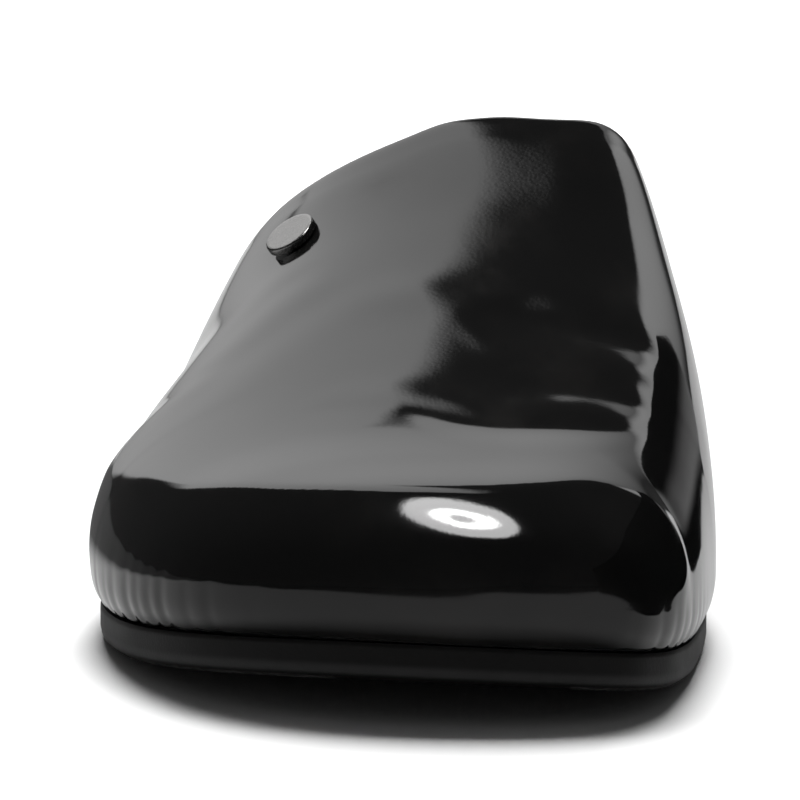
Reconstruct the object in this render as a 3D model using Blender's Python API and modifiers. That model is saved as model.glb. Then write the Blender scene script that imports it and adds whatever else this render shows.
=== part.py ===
"""Closed-toe, backless house slipper for the right foot.

A glossy one-piece upper is drawn down over a contoured footbed and closed by a thin outsole. A cap rivet
sits by the collar on the lateral side. Metres, +Z up. The toe points to -Y, the heel to +Y and the medial
side to +X. The origin is on the floor, under the middle of the object's box.
"""

from collections import namedtuple

import bmesh
import bpy
import numpy as np
from mathutils import Vector

# Driving sizes of the last and of its layers
LENGTH = 0.282
SOLE_INSET = 0.0018
SOLE_THICKNESS = 0.0067
TOE_SPRING = 0.0083
FLEX_STATION = 0.086
FLEX_SLANT = 0.20
SPRING_RUN = 0.0826
WALL = 0.0022
GAP = 0.0003
BED_CLEARANCE = 0.0007
INSOLE_THICKNESS = 0.0015

# The upper turns under between the top of its tuck and the sole
TUCK_HEIGHT = 0.0068
TUCK_INSET = 0.0045
TUCK_REACH = 1.15

# Where the upper's ribs are spun from, inside the last
HUB_X = 0.006
HUB_STATION = 0.070
HUB_Z = SOLE_THICKNESS + GAP

# Divisions of the upper's cage and of the flat layers
UPPER_COLUMNS = 24
TOE_ROWS = 10
BACK_ROWS = 6
EDGE_CROWDING = 1.35
LAYER_COLUMNS = 12
LAYER_ROWS = 24
LAYER_MARGIN = 0.07

# The cap rivet
RIVET_X = -0.0212
RIVET_STATION = 0.1220
RIVET_HEAD_RADIUS = 0.0051
RIVET_HEAD_HEIGHT = 0.0014
RIVET_HEAD_CROWN = 0.0002
RIVET_HEAD_ROUND = 0.0004
RIVET_SHANK_RADIUS = 0.0016
RIVET_BACK_RADIUS = 0.0038
RIVET_BACK_HEIGHT = 0.0008
RIVET_SEAT = 0.0004
RIVET_STEPS = 28

# Plan of the upper at its widest: distances from the toe tip, and sideways from the middle of the ball
Outline = namedtuple("Outline", "station lateral medial")
OUTLINE = (
    Outline(0.000, 0.0150, 0.0150),
    Outline(0.005, -0.0120, 0.0415),
    Outline(0.016, -0.0300, 0.0500),
    Outline(0.035, -0.0440, 0.0545),
    Outline(0.060, -0.0530, 0.0568),
    Outline(0.080, -0.0564, 0.0577),
    Outline(0.100, -0.0566, 0.0567),
    Outline(0.130, -0.0520, 0.0522),
    Outline(0.165, -0.0455, 0.0455),
    Outline(0.200, -0.0400, 0.0425),
    Outline(0.235, -0.0350, 0.0420),
    Outline(0.256, -0.0295, 0.0385),
    Outline(0.270, -0.0210, 0.0300),
    Outline(0.278, -0.0110, 0.0200),
    Outline(0.282, 0.0045, 0.0045),
)

# Cross-sections of the upper: where its crown runs and how high it is, where its upright walls end, and how full the
# shoulder is on each side (a power of 2 is an ellipse, more is squarer)
Section = namedtuple("Section", "station ridge crown side_top lateral_out lateral_up medial_out medial_up")
SECTIONS = (
    Section(0.0000, 0.0170, 0.02400, 0.0238, 2.2, 2.00, 2.2, 2.0),
    Section(0.0020, 0.0175, 0.03160, 0.0235, 2.2, 2.05, 2.3, 2.1),
    Section(0.0055, 0.0181, 0.03560, 0.0229, 2.3, 2.10, 2.4, 2.2),
    Section(0.0083, 0.0184, 0.03755, 0.0223, 2.4, 2.10, 2.4, 2.2),
    Section(0.0143, 0.0190, 0.04005, 0.0212, 2.5, 2.10, 2.5, 2.2),
    Section(0.0280, 0.0195, 0.04310, 0.0192, 2.7, 2.10, 2.9, 2.3),
    Section(0.0450, 0.0200, 0.04700, 0.0175, 2.6, 2.00, 3.2, 2.3),
    Section(0.0800, 0.0210, 0.05920, 0.0155, 2.7, 1.80, 4.6, 2.2),
    Section(0.1150, 0.0215, 0.07420, 0.0150, 3.15, 1.11, 5.0, 2.3),
    Section(0.1400, 0.0205, 0.08700, 0.0150, 3.15, 1.12, 5.0, 2.1),
    Section(0.2000, 0.0185, 0.10400, 0.0160, 3.1, 1.15, 5.0, 2.1),
)

# Back edge of the upper, from the sole (rise 0) to the top of the instep (rise 1)
Collar = namedtuple("Collar", "rise lateral medial")
COLLAR = (
    Collar(0.00, 0.184, 0.184),
    Collar(0.20, 0.180, 0.180),
    Collar(0.45, 0.162, 0.164),
    Collar(0.65, 0.1442, 0.1486),
    Collar(0.82, 0.1372, 0.1414),
    Collar(0.93, 0.1388, 0.1430),
    Collar(1.00, 0.1416, 0.1416),
)

# Footbed above the sole: its middle, its rim on each side, and how wide the rise to the rim is
Bed = namedtuple("Bed", "station middle lateral_rim medial_rim cup")
BED = (
    Bed(0.000, 0.0085, 0.0130, 0.0130, 0.014),
    Bed(0.040, 0.0082, 0.0125, 0.0125, 0.014),
    Bed(0.064, 0.0100, 0.0120, 0.0120, 0.015),
    Bed(0.092, 0.0086, 0.0120, 0.0120, 0.017),
    Bed(0.140, 0.0110, 0.0160, 0.0180, 0.024),
    Bed(0.180, 0.0125, 0.0205, 0.0235, 0.027),
    Bed(0.220, 0.0118, 0.0255, 0.0275, 0.027),
    Bed(0.258, 0.0118, 0.0285, 0.0290, 0.026),
    Bed(0.282, 0.0125, 0.0295, 0.0295, 0.025),
)

# Sides of the sole and of the footbed from foot to rim: share of the height, and distance in from the widest
Side = namedtuple("Side", "height inset")
SOLE_SIDE = (
    Side(0.00, 0.0016),
    Side(0.10, 0.0006),
    Side(0.30, 0.0001),
    Side(0.92, 0.0000),
    Side(1.00, 0.0003),
)
BED_SIDE = (
    Side(0.00, 0.0028),
    Side(0.22, 0.0008),
    Side(0.48, 0.0000),
    Side(0.78, 0.0008),
    Side(0.95, 0.0022),
    Side(1.00, 0.0044),
)

HEEL_END = LENGTH - SOLE_INSET
MIDDLE_STATION = HEEL_END / 2
OUTLINE_SAMPLES = 160
TIP_ANGLE = 1e-3
HALVINGS = 44
CAGE_PASSES = 8


def turned(station):
    """Station as an angle round a half circle, which makes toe and heel come out round."""
    return np.arccos(np.clip(1 - 2 * np.asarray(station, float) / LENGTH, -1, 1))


def curve(xs, ys, x):
    """Smooth cubic curve through a table's points, read at x."""
    xs, ys, x = (np.asarray(v, float) for v in (xs, ys, x))
    step = np.diff(xs)
    rate = np.diff(ys) / step
    slope = np.empty_like(ys)
    slope[1:-1] = (rate[:-1] * step[1:] + rate[1:] * step[:-1]) / (step[1:] + step[:-1])
    slope[0] = 1.5 * rate[0] - 0.5 * slope[1]
    slope[-1] = 1.5 * rate[-1] - 0.5 * slope[-2]
    i = np.clip(np.searchsorted(xs, x, side="right") - 1, 0, len(step) - 1)
    s = (x - xs[i]) / step[i]
    start = (1 + 2 * s) * (1 - s) ** 2 * ys[i] + s * (1 - s) ** 2 * step[i] * slope[i]
    end = s * s * (3 - 2 * s) * ys[i + 1] + s * s * (s - 1) * step[i] * slope[i + 1]
    return start + end


def column(table, name):
    return np.array([getattr(row, name) for row in table], float)


def by_station(table, name, station):
    """A table's column at any station along the last."""
    return curve(turned(column(table, "station")), column(table, name), turned(station))


def sole_bottom(x, station):
    """Height of the walking face: flat from the ball to the heel, sprung at the toe across a slanted line."""
    ahead = np.maximum(0, FLEX_STATION - FLEX_SLANT * x - station)
    return TOE_SPRING * (ahead / SPRING_RUN) ** 2


def sole_top(x, station):
    return sole_bottom(x, station) + SOLE_THICKNESS


def skin_side(x, station, z):
    """Where a point stands to the upper's outer skin: below 0 inside it, above 0 outside."""
    low = sole_top(x, station)
    drop = np.clip((low + TUCK_HEIGHT - z) / (TUCK_HEIGHT * TUCK_REACH), 0, 0.999)
    inset = TUCK_INSET * (1 - np.sqrt(1 - drop**2))
    ahead = station - inset
    lateral = by_station(OUTLINE, "lateral", np.maximum(ahead, 0)) + inset
    medial = by_station(OUTLINE, "medial", np.maximum(ahead, 0)) - inset
    section = {name: by_station(SECTIONS, name, station) for name in Section._fields[1:]}
    ridge = np.clip(section["ridge"], lateral, medial)
    is_lateral = x < ridge
    reach = np.maximum(np.where(is_lateral, ridge - lateral, medial - ridge), 1e-6)
    out = np.where(is_lateral, section["lateral_out"], section["medial_out"])
    up = np.where(is_lateral, section["lateral_up"], section["medial_up"])
    sideways = np.abs(x - ridge) / reach
    rise = np.maximum(section["crown"] - section["side_top"], 1e-6)
    upwards = np.maximum(z - section["side_top"], 0) / rise
    return np.where(ahead <= 0, 1.0, sideways**out + upwards**up - 1)


def first_crossing(place, reach):
    """Distance, up to reach, at which the points of place(distance) leave the skin."""
    near, far = np.zeros_like(reach), reach.copy()
    for _ in range(HALVINGS):
        half = (near + far) / 2
        inside = skin_side(*place(half)) < 0
        near, far = np.where(inside, half, near), np.where(inside, far, half)
    return (near + far) / 2


def skin_point(bearing, rise, station):
    """A point on the upper's skin, seen from the hub line: bearing 0 looks at the toe and a quarter turn at
    the medial side, rise 0 is the bottom edge and rise 1 straight up."""
    side, forward = np.sin(bearing), np.cos(bearing)

    def level(distance):
        x, along = HUB_X + distance * side, station - distance * forward
        return x, along, sole_top(x, along) + GAP

    reach = np.full_like(bearing, LENGTH / 2)
    edge = first_crossing(level, reach)
    edge_angle = np.arctan2(level(edge)[2] - HUB_Z, edge)
    angle = edge_angle + rise * (np.pi / 2 - edge_angle)

    def climbing(distance):
        flat = distance * np.cos(angle)
        return HUB_X + flat * side, station - flat * forward, HUB_Z + distance * np.sin(angle)

    x, along, z = climbing(first_crossing(climbing, reach))
    return np.stack([x, along - MIDDLE_STATION, z], axis=-1)


def collar_station(rise, is_lateral):
    lateral = curve(column(COLLAR, "rise"), column(COLLAR, "lateral"), rise)
    medial = curve(column(COLLAR, "rise"), column(COLLAR, "medial"), rise)
    return np.where(is_lateral, lateral, medial)


def rounded_square(a, b):
    """A square's point moved into the circle that its sides are eased into."""
    return a * np.sqrt(1 - b * b / 2), b * np.sqrt(1 - a * a / 2)


def ringed_square(a, b):
    """A square's point moved into a circle, square rings becoming round ones."""
    ring = np.maximum(np.maximum(np.abs(a), np.abs(b)), 1e-9)
    across, along = rounded_square(a / ring, b / ring)
    return across * ring, along * ring


def crowded(share):
    """Shares of a half-width from -1 to 1, drawn together towards both ends."""
    return np.sign(share) * (1 - (1 - np.abs(share)) ** EDGE_CROWDING)


def draped(a, b):
    """The upper's skin at a grid point: a from -1 on the lateral edge to 1 on the medial edge, b from -1 at
    the toe's bottom edge through 0 at the hub to 1 at the collar."""
    across, ahead = rounded_square(crowded(a), crowded(np.minimum(b, 0)))
    out = np.hypot(across, ahead)
    bearing = np.arctan2(across, -ahead)
    rise = 1 - np.minimum(out, 1)
    behind = np.maximum(b, 0)
    station = HUB_STATION + behind * (collar_station(rise, a < 0) - HUB_STATION)
    return skin_point(bearing, rise, station)


def evened(cage):
    """Where a cage's points come to lie once its surface is smoothed."""
    for axis in (0, 1):
        line = np.moveaxis(cage, axis, 0)
        soft = line.copy()
        soft[1:-1] = (line[:-2] + 4 * line[1:-1] + line[2:]) / 6
        cage = np.moveaxis(soft, 0, axis)
    return cage


def standing_proud(skin):
    """A cage whose smoothed surface passes through the skin's points."""
    cage = skin.copy()
    for _ in range(CAGE_PASSES):
        cage = cage + skin - evened(cage)
    return cage


def plan_point(a, b, inset):
    """Grid point (a, b), each from -1 to 1, spread over the outline drawn in by inset: x and station."""
    across, along = ringed_square(a, b)
    angle = np.clip(np.arccos(np.clip(-along, -1, 1)), TIP_ANGLE, np.pi - TIP_ANGLE)
    whole = LENGTH * (1 - np.cos(angle)) / 2
    lateral = by_station(OUTLINE, "lateral", whole) + inset
    medial = by_station(OUTLINE, "medial", whole) - inset
    x = (lateral + medial) / 2 + across / np.sin(angle) * (medial - lateral) / 2
    return x, inset + whole * (LENGTH - 2 * inset) / LENGTH


def bed_inset():
    return WALL + BED_CLEARANCE


def bed_edge_distance(x, station):
    """How far a point of the plan is from the footbed's edge."""
    turn = np.linspace(-np.pi, np.pi, OUTLINE_SAMPLES, endpoint=False)
    angle = np.clip(np.abs(turn), TIP_ANGLE, np.pi - TIP_ANGLE)
    whole = LENGTH * (1 - np.cos(angle)) / 2
    lateral = by_station(OUTLINE, "lateral", whole) + bed_inset()
    medial = by_station(OUTLINE, "medial", whole) - bed_inset()
    edge_x = np.where(turn < 0, lateral, medial)
    edge_station = bed_inset() + whole * (LENGTH - 2 * bed_inset()) / LENGTH
    return np.hypot(x[:, None] - edge_x, station[:, None] - edge_station).min(axis=1)


def bed_rim(x, station):
    """Height of the rim over the sole, blended from one side to the other."""
    lateral = by_station(OUTLINE, "lateral", station)
    medial = by_station(OUTLINE, "medial", station)
    share = np.clip((x - lateral) / np.maximum(medial - lateral, 1e-6), 0, 1)
    share = share * share * (3 - 2 * share)
    low, high = by_station(BED, "lateral_rim", station), by_station(BED, "medial_rim", station)
    return low + share * (high - low)


def bed_top(x, station):
    """Height of the footbed's contoured face."""
    middle = by_station(BED, "middle", station)
    inward = bed_edge_distance(x, station) - BED_SIDE[-1].inset
    near = np.clip(1 - inward / by_station(BED, "cup", station), 0, 1)
    return sole_top(x, station) + middle + (bed_rim(x, station) - middle) * near**2


def layer_line(share, cells):
    """Grid lines of a layer from -1 to 1: one narrow margin at each end, then even steps."""
    step = 2 / cells
    inner = share / (1 - step) * (1 - LAYER_MARGIN)
    return np.where(np.abs(share) > 1 - step / 2, np.sign(share), inner)


def material(name, colour, roughness, metallic=0.0):
    made = bpy.data.materials.new(name)
    made.use_nodes = True
    shader = made.node_tree.nodes["Principled BSDF"]
    shader.inputs["Base Color"].default_value = (*colour, 1.0)
    shader.inputs["Roughness"].default_value = roughness
    shader.inputs["Metallic"].default_value = metallic
    return made


def grid_mesh(columns, rows):
    """A flat grid primitive from -1 to 1 each way."""
    mesh = bmesh.new()
    bmesh.ops.create_grid(mesh, x_segments=columns, y_segments=rows, size=1)
    return mesh


def places(mesh):
    return np.array([vertex.co for vertex in mesh.verts], float)


def move(mesh, points):
    for vertex, point in zip(mesh.verts, points):
        vertex.co = Vector(point)


def finished(mesh, name, finish, collection):
    """The mesh as a named, smoothly shaded object of the collection."""
    data = bpy.data.meshes.new(name)
    mesh.to_mesh(data)
    mesh.free()
    data.materials.append(finish)
    data.shade_smooth()
    made = bpy.data.objects.new(name, data)
    collection.objects.link(made)
    return made


def add_wall(made, thickness, outwards):
    wall = made.modifiers.new("wall", "SOLIDIFY")
    wall.thickness = thickness
    wall.offset = 1 if outwards else -1
    wall.use_even_offset = True


def divided_box(columns, rows, layers):
    """A box primitive from -1 to 1, with its edges along each axis divided into that many steps."""
    mesh = bmesh.new()
    bmesh.ops.create_cube(mesh, size=2)
    for axis, steps in enumerate((columns, rows, layers)):
        along = [
            edge for edge in mesh.edges
            if abs(edge.verts[0].co[axis] - edge.verts[1].co[axis]) > 1
        ]
        bmesh.ops.subdivide_edges(mesh, edges=along, cuts=steps - 1, use_grid_fill=True)
    return mesh


def make_layer(name, inset, side, heights, collection, finish):
    """A divided box eased into the last's plan. Its side follows a table of heights and insets, and
    heights(x, station) gives the foot, the rim and the top face within the rim."""
    layers = len(side) - 1
    mesh = divided_box(LAYER_COLUMNS, LAYER_ROWS, layers)
    grid = places(mesh)
    level = np.rint((grid[:, 2] + 1) / 2 * layers).astype(int)
    a, b = layer_line(grid[:, 0], LAYER_COLUMNS), layer_line(grid[:, 1], LAYER_ROWS)
    x, station = plan_point(a, b, inset + column(side, "inset")[level])
    foot, rim, top = heights(x, station)
    on_side = np.maximum(np.abs(grid[:, 0]), np.abs(grid[:, 1])) > 1 - 1e-4
    flank = foot + column(side, "height")[level] * (rim - foot)
    z = np.where(on_side, flank, np.where(level == 0, foot, top))
    move(mesh, np.stack([x, station - MIDDLE_STATION, z], axis=-1))
    return finished(mesh, name, finish, collection)


def make_outsole(collection, finish):
    """A sheet of even thickness on the walking face's curve, rounded under its edge."""
    def heights(x, station):
        top = sole_top(x, station)
        return sole_bottom(x, station), top, top

    return make_layer("outsole", SOLE_INSET, SOLE_SIDE, heights, collection, finish)


def make_footbed(collection, finish):
    """A moulded bed with a cupped top and a side that turns under."""
    def heights(x, station):
        foot = sole_top(x, station)
        return foot + GAP, foot + bed_rim(x, station), bed_top(x, station)

    return make_layer("footbed", bed_inset(), BED_SIDE, heights, collection, finish)


def make_insole(collection, finish):
    """A lining sheet on the footbed, within its rim."""
    mesh = grid_mesh(LAYER_COLUMNS - 2, LAYER_ROWS - 2)
    grid = places(mesh)
    a, b = grid[:, 0] * (1 - LAYER_MARGIN), grid[:, 1] * (1 - LAYER_MARGIN)
    x, station = plan_point(a, b, bed_inset() + BED_SIDE[-1].inset)
    z = bed_top(x, station) + GAP
    move(mesh, np.stack([x, station - MIDDLE_STATION, z], axis=-1))
    made = finished(mesh, "insole", finish, collection)
    add_wall(made, INSOLE_THICKNESS, outwards=True)
    return made


def make_upper(collection, finish):
    """One wall draped over the last, open underneath and at the back."""
    rows = TOE_ROWS + BACK_ROWS
    mesh = grid_mesh(UPPER_COLUMNS, rows)
    grid = places(mesh)
    row = np.rint((grid[:, 1] + 1) / 2 * rows)
    b = np.where(row < TOE_ROWS, row / TOE_ROWS - 1, (row - TOE_ROWS) / BACK_ROWS)
    skin = draped(grid[:, 0], b).reshape(rows + 1, UPPER_COLUMNS + 1, 3)
    move(mesh, standing_proud(skin).reshape(-1, 3))
    made = finished(mesh, "upper", finish, collection)
    soft = made.modifiers.new("soft", "SUBSURF")
    soft.levels = soft.render_levels = 1
    soft.boundary_smooth = "PRESERVE_CORNERS"
    add_wall(made, WALL, outwards=False)
    return made


def rivet_axis(upper):
    """The rivet's seat on the upper's outer face and the way that it faces."""
    worn = upper.evaluated_get(bpy.context.evaluated_depsgraph_get())
    aim = Vector((RIVET_X, RIVET_STATION - MIDDLE_STATION, 0))
    seat = worn.ray_cast(aim + Vector((0, 0, 1)), Vector((0, 0, -1)))[1]
    around = []
    for turn in np.linspace(0, 2 * np.pi, RIVET_STEPS, endpoint=False):
        beside = seat + RIVET_HEAD_RADIUS * Vector((np.cos(turn), np.sin(turn), 1))
        around.append(worn.closest_point_on_mesh(beside)[1] - seat)
    facing = sum((a.cross(b) for a, b in zip(around, around[1:] + around[:1])), Vector())
    return seat, facing.normalized()


def make_rivet(collection, cutters, finish, upper):
    """A turned cap with a shank through the upper's wall and a flat back inside."""
    seat, facing = rivet_axis(upper)
    top = RIVET_SEAT + RIVET_HEAD_HEIGHT
    back = -WALL - 2 * RIVET_SEAT
    profile = (
        (0, top),
        (RIVET_HEAD_RADIUS / 2, top - RIVET_HEAD_CROWN / 4),
        (RIVET_HEAD_RADIUS - RIVET_HEAD_ROUND, top - RIVET_HEAD_CROWN),
        (RIVET_HEAD_RADIUS, top - RIVET_HEAD_CROWN - RIVET_HEAD_ROUND),
        (RIVET_HEAD_RADIUS, RIVET_SEAT),
        (RIVET_SHANK_RADIUS, RIVET_SEAT),
        (RIVET_SHANK_RADIUS, back),
        (RIVET_BACK_RADIUS, back),
        (RIVET_BACK_RADIUS, back - RIVET_BACK_HEIGHT),
        (0, back - RIVET_BACK_HEIGHT),
    )
    mesh = bmesh.new()
    line = [mesh.verts.new((radius, 0, height)) for radius, height in profile]
    for start, end in zip(line, line[1:]):
        mesh.edges.new((start, end))
    made = finished(mesh, "rivet", finish, collection)
    spun = made.modifiers.new("turned", "SCREW")
    spun.steps = spun.render_steps = RIVET_STEPS
    spun.use_merge_vertices = True
    spun.merge_threshold = 1e-5
    turn = facing.to_track_quat("Z", "Y")
    made.rotation_mode = "QUATERNION"
    made.location, made.rotation_quaternion = seat, turn

    hole = bmesh.new()
    radius = RIVET_SHANK_RADIUS + GAP
    bmesh.ops.create_cone(
        hole, cap_ends=True, segments=RIVET_STEPS // 2, radius1=radius, radius2=radius, depth=8 * WALL
    )
    cutter = finished(hole, "rivet_hole", finish, cutters)
    cutter.rotation_mode = "QUATERNION"
    cutter.location, cutter.rotation_quaternion = seat, turn
    cutter.hide_render = True
    cutter.display_type = "WIRE"
    cut = upper.modifiers.new("rivet_hole", "BOOLEAN")
    cut.operation = "DIFFERENCE"
    cut.object = cutter
    return made


def main():
    for old in list(bpy.data.objects):
        bpy.data.objects.remove(old)
    slipper = bpy.data.collections.new("house_slipper")
    cutters = bpy.data.collections.new("cutters")
    for collection in (slipper, cutters):
        bpy.context.scene.collection.children.link(collection)
    make_outsole(slipper, material("sole_rubber", (0.011, 0.011, 0.011), 0.75))
    make_footbed(slipper, material("footbed_leather", (0.009, 0.009, 0.010), 0.35))
    make_insole(slipper, material("insole_leather", (0.014, 0.013, 0.013), 0.62))
    upper = make_upper(slipper, material("upper_leather", (0.008, 0.008, 0.009), 0.08))
    make_rivet(slipper, cutters, material("rivet_metal", (0.10, 0.10, 0.105), 0.18, 1.0), upper)


main()
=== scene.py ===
"""Looks of a closed-toe, backless house slipper for the right foot.

Metres, +Z up. The toe points to -Y, the heel to +Y and the medial side to +X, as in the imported
solids. A station is a distance from the toe tip towards the heel.
"""

import logging
import math
from dataclasses import dataclass
from enum import Enum
from typing import Any, Callable, Mapping, Optional, Sequence, TypeVar, Union

import bmesh
import bpy
import numpy as np
from mathutils import Matrix, Vector


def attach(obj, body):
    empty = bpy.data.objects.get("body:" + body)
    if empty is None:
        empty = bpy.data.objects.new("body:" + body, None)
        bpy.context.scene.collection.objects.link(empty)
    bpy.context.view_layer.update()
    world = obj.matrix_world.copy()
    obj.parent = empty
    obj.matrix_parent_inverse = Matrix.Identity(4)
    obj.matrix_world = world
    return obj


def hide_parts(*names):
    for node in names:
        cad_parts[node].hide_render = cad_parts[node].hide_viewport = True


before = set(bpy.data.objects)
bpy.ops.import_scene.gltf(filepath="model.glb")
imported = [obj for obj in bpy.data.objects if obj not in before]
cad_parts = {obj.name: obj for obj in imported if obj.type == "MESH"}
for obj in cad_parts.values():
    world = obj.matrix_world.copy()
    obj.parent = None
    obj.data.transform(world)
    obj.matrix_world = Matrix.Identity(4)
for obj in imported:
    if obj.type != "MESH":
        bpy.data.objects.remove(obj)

LOG = logging.getLogger("slipper")
RISE = "rise"  # attribute that holds each point's share of its layer's height
TINY = 1e-6  # keeps divisors off 0 and tells points that share a place
Array = np.ndarray
Arrays = tuple[Array, Array, Array]
Number = Union[float, Array]
Pair = tuple[float, float]
Triple = tuple[float, float, float]
Piece = bpy.types.Object
Heights = Callable[[Array, Array], Arrays]
Row = TypeVar("Row")
Settings = Mapping[str, Any]
Links = Mapping[Any, Any]


# The last: the shape that every layer is drawn over


@dataclass(frozen=True)
class OutlineRow:
    """How far the plan reaches to each side at one station."""

    station: float
    lateral: float
    medial: float


@dataclass(frozen=True)
class SectionRow:
    """A cross-section of the upper: its crown, its upright side and how full each shoulder is."""

    station: float
    ridge: float
    crown: float
    side_top: float
    lateral_out: float
    lateral_up: float
    medial_out: float
    medial_up: float


@dataclass(frozen=True)
class CollarRow:
    """Station of the upper's back edge at one share of the climb from sole to instep."""

    rise: float
    lateral: float
    medial: float


@dataclass(frozen=True)
class BedRow:
    """The footbed over the sole: its middle, its rim on each side and the width of the cup."""

    station: float
    middle: float
    lateral_rim: float
    medial_rim: float
    cup: float


@dataclass(frozen=True)
class SideRow:
    """A point of a layer's side: share of its height, and distance in from its widest."""

    height: float
    inset: float


def smooth_curve(xs: Array, ys: Array, x: Number) -> Array:
    """Reads a smooth cubic curve through a table's points.

    Args:
        xs: The table's places, rising.
        ys: The table's values.
        x: Where to read.

    Returns:
        The curve's values at x.
    """
    x = np.asarray(x, float)
    step = np.diff(xs)
    rate = np.diff(ys) / step
    slope = np.empty_like(ys)
    slope[1:-1] = (rate[:-1] * step[1:] + rate[1:] * step[:-1]) / (step[1:] + step[:-1])
    # Both ends bend like a parabola
    slope[0] = 1.5 * rate[0] - 0.5 * slope[1]
    slope[-1] = 1.5 * rate[-1] - 0.5 * slope[-2]
    i = np.clip(np.searchsorted(xs, x, side="right") - 1, 0, len(step) - 1)
    s = (x - xs[i]) / step[i]
    start = (1 + 2 * s) * (1 - s) ** 2 * ys[i] + s * (1 - s) ** 2 * step[i] * slope[i]
    end = s * s * (3 - 2 * s) * ys[i + 1] + s * s * (s - 1) * step[i] * slope[i + 1]
    return start + end


def listed(kind: Callable[..., Row], *rows: Sequence[float]) -> tuple[Row, ...]:
    """A table whose rows are made from numbers."""
    return tuple(kind(*row) for row in rows)


def column(table: Sequence[Any], name: str) -> Array:
    """One column of a table of rows."""
    return np.array([getattr(row, name) for row in table], float)


def eased(share: Number) -> Array:
    """A share from 0 to 1 that starts and ends gently."""
    share = np.clip(share, 0, 1)
    return share * share * (3 - 2 * share)


def rounded_square(a: Array, b: Array) -> tuple[Array, Array]:
    """Moves a square's point into the circle that its sides are eased into."""
    return a * np.sqrt(1 - b * b / 2), b * np.sqrt(1 - a * a / 2)


def ringed_square(a: Array, b: Array) -> tuple[Array, Array]:
    """Moves a square's point into a circle, square rings becoming round ones."""
    ring = np.maximum(np.maximum(np.abs(a), np.abs(b)), TINY)
    across, along = rounded_square(a / ring, b / ring)
    return across * ring, along * ring


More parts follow.
